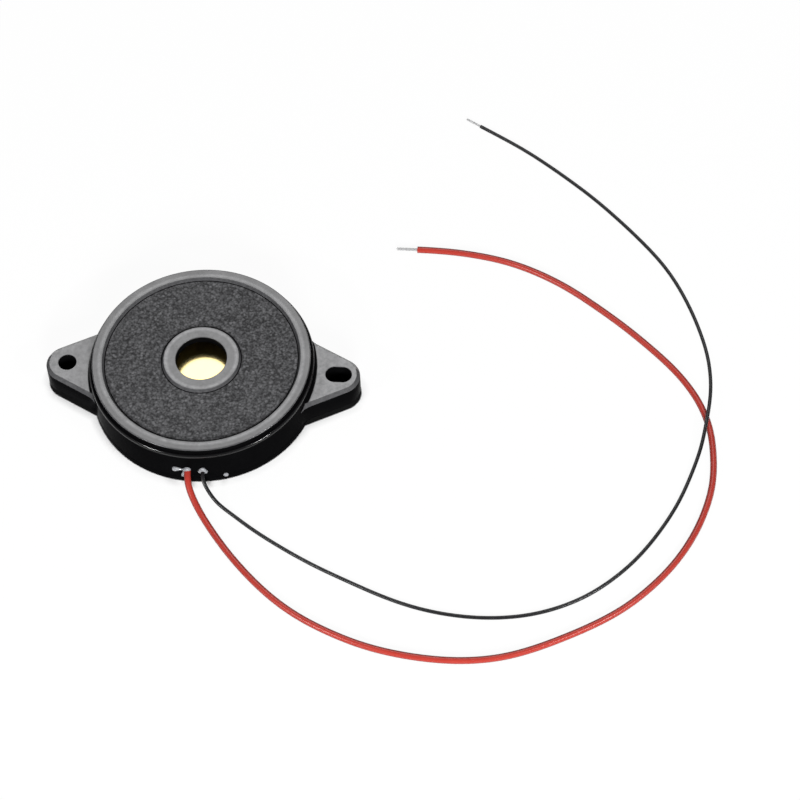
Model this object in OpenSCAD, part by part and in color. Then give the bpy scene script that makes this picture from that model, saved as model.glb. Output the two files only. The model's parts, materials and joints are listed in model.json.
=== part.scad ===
// Enclosed piezo buzzer: a round moulded housing with two mounting ears, a brass
// and ceramic sounder inside, and two insulated leads.
// The origin is on the round body's axis, at its bottom face. The ears lie along X,
// and the leads leave the wall at the front, towards -Y.

/* [Body] */
// Outside diameter of the round body
body_d = 30; // [24:0.5:40]
// Height of the whole body, from its bottom face to its rim
body_h = 6.8; // [6.7:0.1:10]
// Thickness of the housing's side wall
wall_t = 1.4; // [1:0.1:2]
// Thickness of the front plate, under the textured face
front_t = 0.8; // [0.6:0.1:1.6]
// Distance from the outside of the wall in to the rim
rim_inset = 0.45; // [0.2:0.05:1]
// Width of the smooth rim
rim_w = 1.4; // [0.8:0.1:3]
// Height of the rim above the shoulder of the wall
rim_h = 0.8; // [0.3:0.1:1.5]
// Rounding of the wall's shoulder
shoulder_r = 0.4; // [0.1:0.05:0.8]
// Depth of the textured face below the rim
recess_t = 0.4; // [0.1:0.05:0.6]
// Width of the sloped border on each side of the textured face
border_w = 0.2; // [0.1:0.05:0.6]
// Bevel on the fine edges
fine_bevel = 0.1; // [0.05:0.05:0.2]

/* [Sound hole] */
// Diameter of the sound hole
port_d = 6.8; // [3:0.1:10]
// Width of the smooth collar around the sound hole
collar_w = 1.65; // [0.8:0.05:3]
// Air gap between the front plate and the brass plate
air_gap = 1.3; // [0.6:0.1:1.6]

/* [Ears] */
// Distance of each mounting hole's centre from the wall of the round body
ear_reach = 3.2; // [2.8:0.1:10]
// Thickness of the ears
ear_t = 3.5; // [2:0.1:4]
// Radius of an ear's tip, around its hole
ear_tip_r = 2.85; // [2.4:0.05:4]
// Angle between an ear's side and the line through the holes
ear_taper = 28; // [20:1:35]
// Fillet between an ear and the wall
ear_fillet_r = 3; // [1:0.5:5]
// Bevel around the top of an ear
ear_bevel = 0.45; // [0.1:0.05:0.8]
// Diameter of the round mounting hole
hole_d = 2.4; // [1.5:0.1:3.2]
// Width of the slot
slot_w = 2.4; // [1.5:0.1:3]
// Length of the slot, end to end
slot_l = 3.5; // [3.2:0.1:5]

/* [Cover] */
// Thickness of the back cover
cover_t = 0.85; // [0.5:0.05:1.2]
// Thickness of the adhesive in the seam above the cover
seam_t = 0.05; // [0.05:0.01:0.1]
// Height of the cover's locating ring
ring_h = 0.7; // [0.4:0.1:1]
// Width of the cover's locating ring
ring_w = 1; // [0.6:0.1:2]
// Gap between the locating ring and the wall
ring_gap = 0.1; // [0.05:0.05:0.3]

/* [Sounder] */
// Thickness of the brass plate
plate_t = 0.25; // [0.1:0.05:0.4]
// Gap between the brass plate's edge and the wall
plate_gap = 0.1; // [0.05:0.05:0.3]
// Width of the ledge that the brass plate rests against
ledge_w = 1; // [0.6:0.1:2]
// Height and width of the adhesive fillet under the plate's edge
fillet_h = 0.6; // [0.3:0.1:0.7]
// Width of the bare brass around the ceramic disc
brass_margin = 3.5; // [3.2:0.1:6]
// Thickness of the ceramic disc
ceramic_t = 0.22; // [0.1:0.02:0.3]
// Margin of bare ceramic around the silver layer
silver_margin = 0.7; // [0.3:0.1:2]
// Thickness of the silver layer
silver_t = 0.03; // [0.02:0.01:0.05]

/* [Leads] */
// Diameter of the red lead, over its insulation
red_lead_d = 0.9; // [0.6:0.05:1.2]
// Diameter of the black lead, over its insulation
black_lead_d = 0.5; // [0.4:0.05:1.2]
// Diameter of the red lead's stranded conductor
red_wire_d = 0.4; // [0.2:0.05:0.5]
// Diameter of the black lead's stranded conductor
black_wire_d = 0.3; // [0.2:0.05:0.5]
// Height of the two lead holes above the bottom face
exit_h = 2.7; // [2.3:0.1:3]
// Gap between a lead and the hole that it passes through
exit_gap = 0.1; // [0.05:0.05:0.2]
// Distance of the red lead's hole from the body's axis, along X
red_exit_x = -0.5; // [-4:0.1:0]
// Distance of the black lead's hole from the body's axis, along X
black_exit_x = 1.5; // [1.2:0.1:5]
// Length of the red lead's stripped end
red_bare_l = 2.9; // [1:0.1:8]
// Length of the black lead's stripped end
black_bare_l = 2.4; // [1:0.1:8]

/* [Hidden] */
$fn = 96;
overcut = 1;

body_r = body_d / 2;
hole_x = body_r + ear_reach;
inner_r = body_r - wall_t;
rim_r = body_r - rim_inset;
face_r = rim_r - rim_w;
face_z = body_h - recess_t;
port_r = port_d / 2;
collar_r = port_r + collar_w;
housing_z = cover_t + seam_t;
ear_top_z = housing_z + ear_t;
front_z = face_z - front_t;

// The stack of the sounder, from the brass plate down
plate_top_z = front_z - air_gap;
plate_z = plate_top_z - plate_t;
ceramic_z = plate_z - ceramic_t;
silver_z = ceramic_z - silver_t;
plate_r = inner_r - plate_gap;
ceramic_r = plate_r - brass_margin;
silver_r = ceramic_r - silver_margin;
ledge_r = plate_r - ledge_w;
ring_r = inner_r - ring_gap;

red_r = red_lead_d / 2;
black_r = black_lead_d / 2;
red_wire_r = red_wire_d / 2;
black_wire_r = black_wire_d / 2;
cord_sides = 8;

// The solder joints: radius, height, and distance from the middle to the wire's flat
joint_r = 0.8;
joint_h = 0.7;
joint_flat = 0.5;
// How far the joints lie from the axis: red on the silver, black on the bare brass
red_joint_at = silver_r - 3.3;
black_joint_at = (ceramic_r + plate_r - fillet_h) / 2;

// The leads' routes on the surface that the body stands on. Each point is its place
// along X, its distance past the wall along Y (+Y is inwards, so the far ends come
// back along +Y), and its lift above the lying lead.
red_lift = exit_h - red_r;
red_route = [
    [red_exit_x, 5, red_lift], [red_exit_x, 3, red_lift],
    [red_exit_x, 1, red_lift], [red_exit_x, -0.5, red_lift],
    [-0.25, -2, 1.6], [0.5, -3.5, 0.75], [1.75, -5.5, 0.15], [3.5, -8, 0],
    [6, -11.25, 0], [9, -14.5, 0], [12, -17.25, 0], [15.5, -19.75, 0],
    [19.5, -21.75, 0], [24, -23.5, 0], [28.5, -24.5, 0], [33, -25, 0],
    [37.5, -25, 0], [42, -24.25, 0], [46, -22.75, 0], [50, -20.75, 0],
    [54, -18.5, 0], [57.5, -16, 0], [60.75, -12.75, 0], [63.5, -9.25, 0],
    [65.75, -5.25, 0], [67.25, -1.25, 0], [68.25, 3, 0], [68.25, 7.5, 0],
    [67.75, 12, 0], [66, 16.5, 0], [63, 20.75, 0], [59.5, 24.25, 0],
    [56, 27.5, 0], [52.25, 30.5, 0], [48.25, 33.5, 0], [44.25, 35.75, 0],
    [40, 37.5, 0], [35.5, 38.5, 0], [31, 39, 0], [27, 39, 0]
];
// The black lead passes over the red one in a long low hump
black_lift = exit_h - black_r;
over = red_lead_d + 0.1;
black_route = [
    [black_exit_x, 1.9, black_lift], [black_exit_x, 0.75, black_lift],
    [black_exit_x, -0.5, black_lift], [1.75, -1.5, 1.95], [2.5, -2.5, 1.15],
    [3.75, -3.75, 0.35], [5.75, -5, 0], [8.5, -7.1, 0], [12.5, -9.6, 0],
    [17, -12.1, 0], [21.5, -14.1, 0], [26, -16.1, 0], [30.5, -17.6, 0],
    [35, -18.4, 0], [39.5, -18.6, 0], [44, -18.1, 0], [48, -16.9, 0],
    [52, -14.9, 0], [55.5, -12.1, 0], [58.75, -8.6, 0], [61.5, -4.4, 0],
    [63.75, -0.1, 0], [65.25, 4.1, 0.05], [66.5, 8.1, over / 2], [67, 11.1, over],
    [67.5, 14.6, over], [67.75, 18.1, over / 2], [67.5, 22.1, 0.05], [66.75, 25.6, 0],
    [65.25, 30.1, 0], [63.25, 34.6, 0], [61, 38.4, 0], [58, 42.1, 0],
    [54.5, 45.9, 0], [51, 49.4, 0], [47.25, 52.6, 0], [43.5, 55.6, 0],
    [40, 58.1, 0], [37, 59.9, 0], [34.5, 61.4, 0]
];

// A route's points in the part's own frame
function placed(route, r) = [for (p = route) [p[0], p[1] - body_r, p[2] + r]];
red_path = placed(red_route, red_r);
black_path = placed(black_route, black_r);

function unit(v) = v / norm(v);

// The direction of a path at one of its points
function heading(path, i) =
    unit(path[min(i + 1, len(path) - 1)] - path[max(i - 1, 0)]);

// A ring of points around a path's point, square to the path
function ring(at, along, r) =
    let (side = unit(cross([0, 0, 1], along)), up = cross(along, side))
    [for (k = [0 : cord_sides - 1]) let (a = 360 * k / cord_sides)
        at + r * (cos(a) * side - sin(a) * up)];

// A tube of radius r swept along a path, with flat ends
module swept(path, r) {
    n = cord_sides;
    last = len(path) - 1;
    rings = [for (i = [0 : last]) each ring(path[i], heading(path, i), r)];
    walls = [for (i = [0 : last - 1], k = [0 : n - 1])
        let (a = i * n + k, b = i * n + (k + 1) % n)
        each [[a, b, a + n], [b, b + n, a + n]]];
    ends = [[for (k = [n - 1 : -1 : 0]) k], [for (k = [0 : n - 1]) last * n + k]];
    polyhedron(rings, concat(walls, ends));
}

// Points of an arc about a centre, from one angle to another
function arc(centre, r, from, to, steps) =
    [for (i = [0 : steps]) let (a = from + (to - from) * i / steps)
        centre + r * [cos(a), sin(a)]];

// The closed shape of the housing before its cavity is cut, from the axis outwards
module housing_form() {
    shoulder_z = body_h - rim_h;
    rotate_extrude()
        polygon(concat(
            [[0, housing_z], [body_r, housing_z]],
            arc([body_r - shoulder_r, shoulder_z - shoulder_r], shoulder_r, 0, 90, 8),
            [
                [rim_r, shoulder_z],
                [rim_r, body_h - fine_bevel], [rim_r - fine_bevel, body_h],
                [face_r, body_h], [face_r - border_w, face_z],
                [collar_r + border_w, face_z], [collar_r, body_h],
                [0, body_h]
            ]
        ));
}

// The housing's cavity: the room for the cover and the sounder, and the air gap
module housing_cavity() {
    rotate_extrude()
        polygon([
            [0, housing_z - overcut], [inner_r, housing_z - overcut],
            [inner_r, plate_top_z], [ledge_r, plate_top_z], [ledge_r, front_z],
            [0, front_z]
        ]);
}

// Half an ear's outline, from its root in the middle of the wall to the tip's end. The
// side is a straight line that touches the tip. A fillet joins it to the round body, and
// its first point is a few degrees off the wall, so that no edge lies in the wall's face.
function ear_half(inset) =
    let (
        side_out = [sin(ear_taper), cos(ear_taper)],
        side_along = [cos(ear_taper), -sin(ear_taper)],
        side_d = ear_tip_r + hole_x * sin(ear_taper),
        fillet_d = side_d + ear_fillet_r,
        fillet_c = fillet_d * side_out
            + sqrt(pow(body_r + ear_fillet_r, 2) - pow(fillet_d, 2)) * side_along,
        root_angle = atan2(fillet_c[1], fillet_c[0]),
        off_wall = 4
    )
    concat(
        arc([0, 0], body_r - wall_t / 2, 0, root_angle, 6),
        arc(fillet_c, ear_fillet_r + inset, root_angle + off_wall - 180, -90 - ear_taper, 8),
        arc([hole_x, 0], ear_tip_r - inset, 90 - ear_taper, 0, 16)
    );

// A closed outline from its half, mirrored in the line through the holes
function closed_outline(half) = concat(
    half,
    [for (i = [len(half) - 2 : -1 : 1]) [half[i][0], -half[i][1]]]
);

// One ear, with the bevel around its top
module ear() {
    levels = [
        [0, housing_z], [0, ear_top_z - ear_bevel], [ear_bevel, ear_top_z]
    ];
    outlines = [for (l = levels) closed_outline(ear_half(l[0]))];
    n = len(outlines[0]);
    points = [for (l = [0 : 2], p = outlines[l]) [p[0], p[1], levels[l][1]]];
    walls = [for (l = [0 : 1], k = [0 : n - 1])
        let (a = l * n + k, b = l * n + (k + 1) % n)
        each [[a, b, a + n], [b, b + n, a + n]]];
    ends = [[for (k = [0 : n - 1]) k], [for (k = [n - 1 : -1 : 0]) 2 * n + k]];
    polyhedron(points, concat(walls, ends));
}

// A round hole through an ear
module ear_bore(x, d) {
    translate([x, 0, housing_z - overcut])
        cylinder(d = d, h = ear_t + 2 * overcut);
}

// A slot through an ear, longest along X
module ear_slot(x) {
    straight = slot_l - slot_w;
    for (s = [-1, 1])
        ear_bore(x + s * straight / 2, slot_w);
    translate([x - straight / 2, -slot_w / 2, housing_z - overcut])
        cube([straight, slot_w, ear_t + 2 * overcut]);
}

// A rod along Y from one distance out from the axis to another, at a lead's hole
module along_exit(x, r, from, to) {
    translate([x, -from, exit_h])
        rotate([90, 0, 0])
            cylinder(r = r, h = to - from);
}

// The hole through the wall for a lead of radius r
module lead_hole(x, r) {
    along_exit(x, r + exit_gap, inner_r - overcut, body_r + overcut);
}

module housing() {
    color([0.07, 0.07, 0.08])
        difference() {
            union() {
                housing_form();
                ear();
                mirror([1, 0, 0]) ear();
            }
            housing_cavity();
            cylinder(r = port_r, h = body_h + overcut);
            ear_bore(-hole_x, hole_d);
            ear_slot(hole_x);
            lead_hole(red_exit_x, red_r);
            lead_hole(black_exit_x, black_r);
        }
}

module back_cover() {
    color([0.09, 0.09, 0.1])
        rotate_extrude()
            polygon([
                [0, 0], [body_r - 2 * fine_bevel, 0], [body_r, 2 * fine_bevel],
                [body_r, cover_t], [ring_r, cover_t],
                [ring_r, cover_t + ring_h], [ring_r - ring_w, cover_t + ring_h],
                [ring_r - ring_w, cover_t], [0, cover_t]
            ]);
}

// The round body without its details, to cut the glue on its wall flush
module round_body() {
    cylinder(r = body_r, h = body_h, $fn = 360);
}

// The film in the seam, and the drop that was squeezed out of it
module cover_glue() {
    film_in = 0.2;
    drop_r = 0.45;
    drop_angle = -73;
    color([0.8, 0.8, 0.78]) {
        translate([0, 0, cover_t])
            difference() {
                cylinder(r = body_r - film_in, h = seam_t);
                translate([0, 0, -overcut])
                    cylinder(r = inner_r + film_in, h = seam_t + 2 * overcut);
            }
        difference() {
            rotate(drop_angle)
                translate([body_r - film_in, 0, housing_z + film_in])
                    sphere(r = drop_r, $fn = 24);
            round_body();
        }
    }
}

module brass_plate() {
    color([0.85, 0.72, 0.4])
        translate([0, 0, plate_z])
            cylinder(r = plate_r, h = plate_t);
}

// A fillet of adhesive in the corner between the plate's underside and the wall
module plate_adhesive() {
    color([0.75, 0.75, 0.72])
        rotate_extrude()
            polygon([
                [plate_r - fillet_h, plate_z], [inner_r, plate_z - fillet_h],
                [inner_r, plate_z]
            ]);
}

module piezo_ceramic() {
    color([0.86, 0.84, 0.76])
        translate([0, 0, ceramic_z])
            cylinder(r = ceramic_r, h = ceramic_t);
}

module silver_electrode() {
    color([0.8, 0.8, 0.82])
        translate([0, 0, silver_z])
            cylinder(r = silver_r, h = silver_t);
}

// The place along Y of a point at x that is r from the axis, on the leads' side
function front_y(x, r) = -sqrt(r * r - x * x);

// A dome of solder under a surface at height z, cut flat where its wire comes in
module solder_joint(x, r, z) {
    sphere_r = (pow(joint_r, 2) + pow(joint_h, 2)) / (2 * joint_h);
    color([0.72, 0.73, 0.75])
        translate([x, front_y(x, r), z])
            difference() {
                translate([0, 0, sphere_r - joint_h])
                    sphere(r = sphere_r, $fn = 32);
                translate([-2 * sphere_r, -2 * sphere_r, 0])
                    cube([4 * sphere_r, 4 * sphere_r, 3 * sphere_r]);
                translate([-2 * sphere_r, -joint_flat - 3 * sphere_r, -3 * sphere_r])
                    cube([4 * sphere_r, 3 * sphere_r, 4 * sphere_r]);
            }
}

module red_solder_joint() {
    solder_joint(red_exit_x, red_joint_at, silver_z);
}

module black_solder_joint() {
    solder_joint(black_exit_x, black_joint_at, plate_z);
}

// The bare conductor from the end of a lead's insulation to its solder joint's flat,
// just under a surface at height z
module inner_wire(path, wire_r, r, z) {
    from = path[0];
    to = [from[0], front_y(from[0], r) - joint_flat, z - wire_r - silver_t];
    step = [0, (to[1] - from[1]) / 4, 0];
    color([0.75, 0.76, 0.78])
        swept([from, from + step, to - step, to], wire_r);
}

module red_inner_wire() {
    inner_wire(red_path, red_wire_r, red_joint_at, silver_z);
}

module black_inner_wire() {
    inner_wire(black_path, black_wire_r, black_joint_at, plate_z);
}

module red_lead() {
    color([0.8, 0.13, 0.1]) swept(red_path, red_r);
}

module black_lead() {
    color([0.05, 0.05, 0.06]) swept(black_path, black_r);
}

// The stripped and tinned end beyond the last point of a lead
module bare_end(path, wire_r, length) {
    last = len(path) - 1;
    color([0.75, 0.76, 0.78])
        swept([path[last], path[last] + length * heading(path, last)], wire_r);
}

module red_bare_end() {
    bare_end(red_path, red_wire_r, red_bare_l);
}

module black_bare_end() {
    bare_end(black_path, black_wire_r, black_bare_l);
}

// A dab of clear glue on the wall around a lead, drawn out sideways by drag
module exit_glue(x, lead_r, drag) {
    dab_r = lead_r + 0.3;
    tail_r = 0.35;
    out = body_r - dab_r / 3;
    color([0.85, 0.87, 0.88])
        difference() {
            hull() {
                translate([x, -out, exit_h])
                    sphere(r = dab_r, $fn = 24);
                translate([x + drag, -sqrt(pow(body_r, 2) - pow(x + drag, 2)), exit_h])
                    sphere(r = tail_r, $fn = 24);
            }
            round_body();
            along_exit(x, lead_r, body_r - overcut, body_r + overcut);
        }
}

module red_exit_glue() {
    exit_glue(red_exit_x, red_r, -1.4);
}

module black_exit_glue() {
    exit_glue(black_exit_x, black_r, 0.2);
}

housing();
back_cover();
cover_glue();
brass_plate();
plate_adhesive();
piezo_ceramic();
silver_electrode();
red_solder_joint();
black_solder_joint();
red_inner_wire();
black_inner_wire();
red_lead();
black_lead();
red_bare_end();
black_bare_end();
red_exit_glue();
black_exit_glue();
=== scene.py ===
import json
from math import cos, pi, radians, sin, sqrt

import bmesh
import bpy
import numpy as np
from mathutils import Matrix, Vector


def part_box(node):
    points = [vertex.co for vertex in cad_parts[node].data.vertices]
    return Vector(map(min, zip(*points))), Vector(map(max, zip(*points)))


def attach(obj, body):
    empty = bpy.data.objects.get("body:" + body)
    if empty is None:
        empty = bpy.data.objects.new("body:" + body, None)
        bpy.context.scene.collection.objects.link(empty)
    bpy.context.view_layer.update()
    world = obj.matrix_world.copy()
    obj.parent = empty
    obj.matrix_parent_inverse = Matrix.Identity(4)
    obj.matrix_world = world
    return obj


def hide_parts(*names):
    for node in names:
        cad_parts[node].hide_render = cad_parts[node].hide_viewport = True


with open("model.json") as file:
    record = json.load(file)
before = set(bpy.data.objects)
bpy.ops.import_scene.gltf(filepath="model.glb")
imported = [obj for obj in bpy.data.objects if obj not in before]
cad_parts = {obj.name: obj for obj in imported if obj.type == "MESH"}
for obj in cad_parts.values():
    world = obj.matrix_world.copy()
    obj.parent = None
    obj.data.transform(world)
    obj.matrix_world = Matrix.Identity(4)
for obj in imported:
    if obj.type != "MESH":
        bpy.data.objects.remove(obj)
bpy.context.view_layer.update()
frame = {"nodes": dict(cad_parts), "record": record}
mm = 0.001

# sizes that every piece shares, in mm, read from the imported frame
mounts = {m["name"]: m for m in frame["record"]["mounts"]}
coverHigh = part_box("back_cover")[1]
housingLow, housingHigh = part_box("housing")
bodyRadius, coverTop = coverHigh.x / mm, coverHigh.z / mm
housingBase, bodyHeight = housingLow.z / mm, housingHigh.z / mm
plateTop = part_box("brass_plate")[1].z / mm
holeX = mounts["mounting_slot"]["pos_m"][0] / mm
boreRadius = mounts["mounting_hole"]["dims"]["r_mm"]
earTop = housingBase + mounts["mounting_hole"]["dims"]["length_mm"]
portRadius = mounts["sound_port"]["dims"]["r_mm"]
portDepth = mounts["sound_port"]["dims"]["length_mm"]


# where the view is taken from
cameraValues = {
    "azimuth": 6.233,  # degrees round the body, from straight in front
    "elevation": 56.428,
    "roll": -2.579,
    "distance": 0.385,  # metres, as are the next two
    "right": 0.02637,  # how far the view's middle lies right of the rim's centre
    "down": 0.00556,
    "lens": 130.67,
    "sensor": 36,
    "nearest": 0.01,
    "farthest": 20,
}


def makeCamera(v):
    # looks back along its own direction at the rim's centre, rolled and shifted sideways
    azimuth, elevation, roll = (radians(v[k]) for k in ("azimuth", "elevation", "roll"))
    back = Vector((sin(azimuth) * cos(elevation), -cos(azimuth) * cos(elevation), sin(elevation)))
    level = Vector((cos(azimuth), sin(azimuth), 0))
    right = cos(roll) * level + sin(roll) * back.cross(level)
    up = back.cross(right)
    rimCentre = Vector((0, 0, bodyHeight * mm))
    place = rimCentre + right * v["right"] - up * v["down"] + back * v["distance"]
    data = bpy.data.cameras.new("camera")
    data.lens, data.sensor_width = v["lens"], v["sensor"]
    data.clip_start, data.clip_end = v["nearest"], v["farthest"]
    camera = bpy.data.objects.new("camera", data)
    bpy.context.scene.collection.objects.link(camera)
    turn = Matrix((right, up, back)).transposed()
    camera.matrix_world = Matrix.Translation(place) @ turn.to_4x4()
    bpy.context.scene.camera = camera


makeCamera(cameraValues)
print("camera placed")


leadValues = {  # in mm
    "redDiameter": 0.9,
    "blackDiameter": 0.5,
    "exitHeight": 2.7,
    "redExit": -0.5,
    "blackExit": 1.5,
    "crossingGap": 0.1,
    "roundness": 6,
    "smoothness": 12,
}
redRadius = leadValues["redDiameter"] / 2
blackRadius = leadValues["blackDiameter"] / 2
redLift = leadValues["exitHeight"] - redRadius
blackLift = leadValues["exitHeight"] - blackRadius
over = leadValues["redDiameter"] + leadValues["crossingGap"]

# each point: place along X, distance past the wall along Y, lift above the lying lead, in mm
redRoute = [
    (-0.5, 5, redLift), (-0.5, 3, redLift), (-0.5, 1, redLift), (-0.5, -0.5, redLift),
    (-0.25, -2, 1.6), (0.5, -3.5, 0.75), (1.75, -5.5, 0.15), (3.5, -8, 0),
    (6, -11.25, 0), (9, -14.5, 0), (12, -17.25, 0), (15.5, -19.75, 0),
    (19.5, -21.75, 0), (24, -23.5, 0), (28.5, -24.5, 0), (33, -25, 0),
    (37.5, -25, 0), (42, -24.25, 0), (46, -22.75, 0), (50, -20.75, 0),
    (54, -18.5, 0), (57.5, -16, 0), (60.75, -12.75, 0), (63.5, -9.25, 0),
    (65.75, -5.25, 0), (67.25, -1.25, 0), (68.25, 3, 0), (68.25, 7.5, 0),
    (67.75, 12, 0), (66, 16.5, 0), (63, 20.75, 0), (59.5, 24.25, 0),
    (56, 27.5, 0), (52.25, 30.5, 0), (48.25, 33.5, 0), (44.25, 35.75, 0),
    (40, 37.5, 0), (35.5, 38.5, 0), (31, 39, 0), (27, 39, 0),
]
blackRoute = [
    (1.5, 1.9, blackLift), (1.5, 0.75, blackLift), (1.5, -0.5, blackLift), (1.75, -1.5, 1.95),
    (2.5, -2.5, 1.15), (3.75, -3.75, 0.35), (5.75, -5, 0), (8.5, -7.1, 0),
    (12.5, -9.6, 0), (17, -12.1, 0), (21.5, -14.1, 0), (26, -16.1, 0),
    (30.5, -17.6, 0), (35, -18.4, 0), (39.5, -18.6, 0), (44, -18.1, 0),
    (48, -16.9, 0), (52, -14.9, 0), (55.5, -12.1, 0), (58.75, -8.6, 0),
    (61.5, -4.4, 0), (63.75, -0.1, 0), (65.25, 4.1, 0.05), (66.5, 8.1, over / 2),
    (67, 11.1, over), (67.5, 14.6, over), (67.75, 18.1, over / 2), (67.5, 22.1, 0.05),
    (66.75, 25.6, 0), (65.25, 30.1, 0), (63.25, 34.6, 0), (61, 38.4, 0),
    (58, 42.1, 0), (54.5, 45.9, 0), (51, 49.4, 0), (47.25, 52.6, 0),
    (43.5, 55.6, 0), (40, 58.1, 0), (37, 59.9, 0), (34.5, 61.4, 0),
]


def routePoints(route, radius):
    # from the wall's own measures to the row frame, in mm
    return np.array(route, float) + [0, -bodyRadius, radius]


def makeLead(name, route, radius):
    # a round tube along one smooth cubic curve that the route's points pull on
    points = routePoints(route, radius) * mm
    data = bpy.data.curves.new(name, "CURVE")
    data.dimensions = "3D"
    data.bevel_depth = radius * mm
    data.bevel_resolution = leadValues["roundness"]
    data.use_fill_caps = True
    spline = data.splines.new("NURBS")
    spline.points.add(len(points) - 1)
    weighted = np.column_stack([points, np.ones(len(points))])
    spline.points.foreach_set("co", weighted.ravel())
    spline.order_u = 4
    spline.use_endpoint_u = True
    spline.resolution_u = leadValues["smoothness"]
    lead = bpy.data.objects.new(name, data)
    bpy.context.scene.collection.objects.link(lead)
    return lead


redLead = makeLead("red_insulation", redRoute, redRadius)
blackLead = makeLead("black_insulation", blackRoute, blackRadius)
print("leads laid")


def makePiece(name, points, faces):
    # a mesh object at the origin, so that its place lies in its points
    mesh = bpy.data.meshes.new(name)
    mesh.from_pydata(np.asarray(points).tolist(), [], faces)
    mesh.validate()
    piece = bpy.data.objects.new(name, mesh)
    bpy.context.scene.collection.objects.link(piece)
    return piece


def closePoles(piece):
    # merges the points that lie on each other, so that poles and seams are closed
    work = bmesh.new()
    work.from_mesh(piece.data)
    bmesh.ops.remove_doubles(work, verts=work.verts, dist=1e-8)
    work.to_mesh(piece.data)
    work.free()


def shadeSmooth(piece, sharpAngle=32):
    # smooth, but for the edges that turn by more than sharpAngle degrees
    piece.data.shade_smooth()
    piece.data.set_sharp_from_angle(angle=radians(sharpAngle))


def gridFaces(rows, columns, wrapRows=False, wrapColumns=True):
    # four-sided faces between the neighbouring rows and columns of a grid of points
    i, j = np.meshgrid(np.arange(rows - (not wrapRows)), np.arange(columns - (not wrapColumns)),
                       indexing="ij")
    nextRow, nextColumn = (i + 1) % rows, (j + 1) % columns
    corners = (i * columns + j, i * columns + nextColumn,
               nextRow * columns + nextColumn, nextRow * columns + j)
    return np.stack(corners, -1).reshape(-1, 4)


def revolve(profile, steps):
    # turned surface: (r, z) at angle a goes to (r cos a, r sin a, z)
    a = np.linspace(0, 2 * pi, steps, endpoint=False)[:, None]
    r, z = profile[:, 0], profile[:, 1]
    return np.stack([r * np.cos(a), r * np.sin(a), z + 0 * a], -1)


def roundCorners(corners, hold=0.03, arcSteps=6):
    # each corner (r, z, radius) becomes an arc that touches both of its sides, with a point held
    # just outside each end of the arc, so that the flats beside it shade flat
    made = []
    for k, (r, z, radius) in enumerate(corners):
        here = np.array([r, z])
        if not radius:
            made.append(here)
            continue
        before = np.array(corners[k - 1][:2]) - here
        after = np.array(corners[(k + 1) % len(corners)][:2]) - here
        before, after = before / np.linalg.norm(before), after / np.linalg.norm(after)
        half = np.arccos(np.clip(before @ after, -1, 1)) / 2
        reach = radius / np.tan(half)
        middle = before + after
        centre = here + middle / np.linalg.norm(middle) * radius / np.sin(half)
        start, end = here + before * reach - centre, here + after * reach - centre
        first = np.arctan2(start[1], start[0])
        turn = (np.arctan2(end[1], end[0]) - first + pi) % (2 * pi) - pi
        a = first + turn * np.linspace(0, 1, arcSteps + 1)
        made.append(centre + start + before * hold)
        made.extend(centre + radius * np.column_stack([np.cos(a), np.sin(a)]))
        made.append(centre + end + after * hold)
    return np.array(made)


def arcPoints(centre, radius, start, end, steps):
    # points (cx + r cos a, cy + r sin a) with a from start to end
    a = np.linspace(start, end, steps + 1)
    return np.column_stack([centre[0] + radius * np.cos(a), centre[1] + radius * np.sin(a)])


def stackOutlines(name, outlines, heights):
    # a closed prism: one outline at each height, with flat ends
    count = len(outlines[0])
    rings = [np.column_stack([o, np.full(count, z)]) for o, z in zip(outlines, heights)]
    faces = gridFaces(len(rings), count).tolist()
    last = (len(rings) - 1) * count
    faces += [list(range(count))[::-1], list(range(last, last + count))]
    return makePiece(name, np.concatenate(rings), faces)


def smoothNoise(x, y, cell, seed, size=256):
    # value noise: random numbers on a square lattice, joined by the smooth step 3t^2 - 2t^3
    lattice = np.random.default_rng(seed).random((size, size))
    u, v = x / cell, y / cell
    i, j = np.floor(u).astype(int), np.floor(v).astype(int)
    fu, fv = u - i, v - j
    fu, fv = fu * fu * (3 - 2 * fu), fv * fv * (3 - 2 * fv)
    i, j, i1, j1 = i % size, j % size, (i + 1) % size, (j + 1) % size
    low = lattice[i, j] * (1 - fu) + lattice[i1, j] * fu
    high = lattice[i, j1] * (1 - fu) + lattice[i1, j1] * fu
    return low * (1 - fv) + high * fv


def combine(piece, tools):
    # adds or cuts each tool, then keeps the result as the piece's own mesh
    for tool, operation in tools:
        step = piece.modifiers.new(tool.name, "BOOLEAN")
        step.operation, step.object, step.solver = operation, tool, "MANIFOLD"
    graph = bpy.context.evaluated_depsgraph_get()
    mesh = bpy.data.meshes.new_from_object(piece.evaluated_get(graph))
    piece.modifiers.clear()
    piece.data = mesh
    for tool, operation in tools:
        bpy.data.objects.remove(tool)


def faceArrays(piece):
    # the middle of each face, in mm, and the way it points
    polygons = piece.data.polygons
    middle, way = np.zeros(len(polygons) * 3), np.zeros(len(polygons) * 3)
    polygons.foreach_get("center", middle)
    polygons.foreach_get("normal", way)
    return middle.reshape(-1, 3) / mm, way.reshape(-1, 3)


def paintFaces(piece, materials, numbers):
    # each face takes the material that its number counts to
    mesh = piece.data
    mesh.materials.clear()
    for material in materials:
        mesh.materials.append(material)
    mesh.polygons.foreach_set("material_index", numbers.astype(np.int32))


def between(value, low, high):
    return (value > low) & (value < high)


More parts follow.
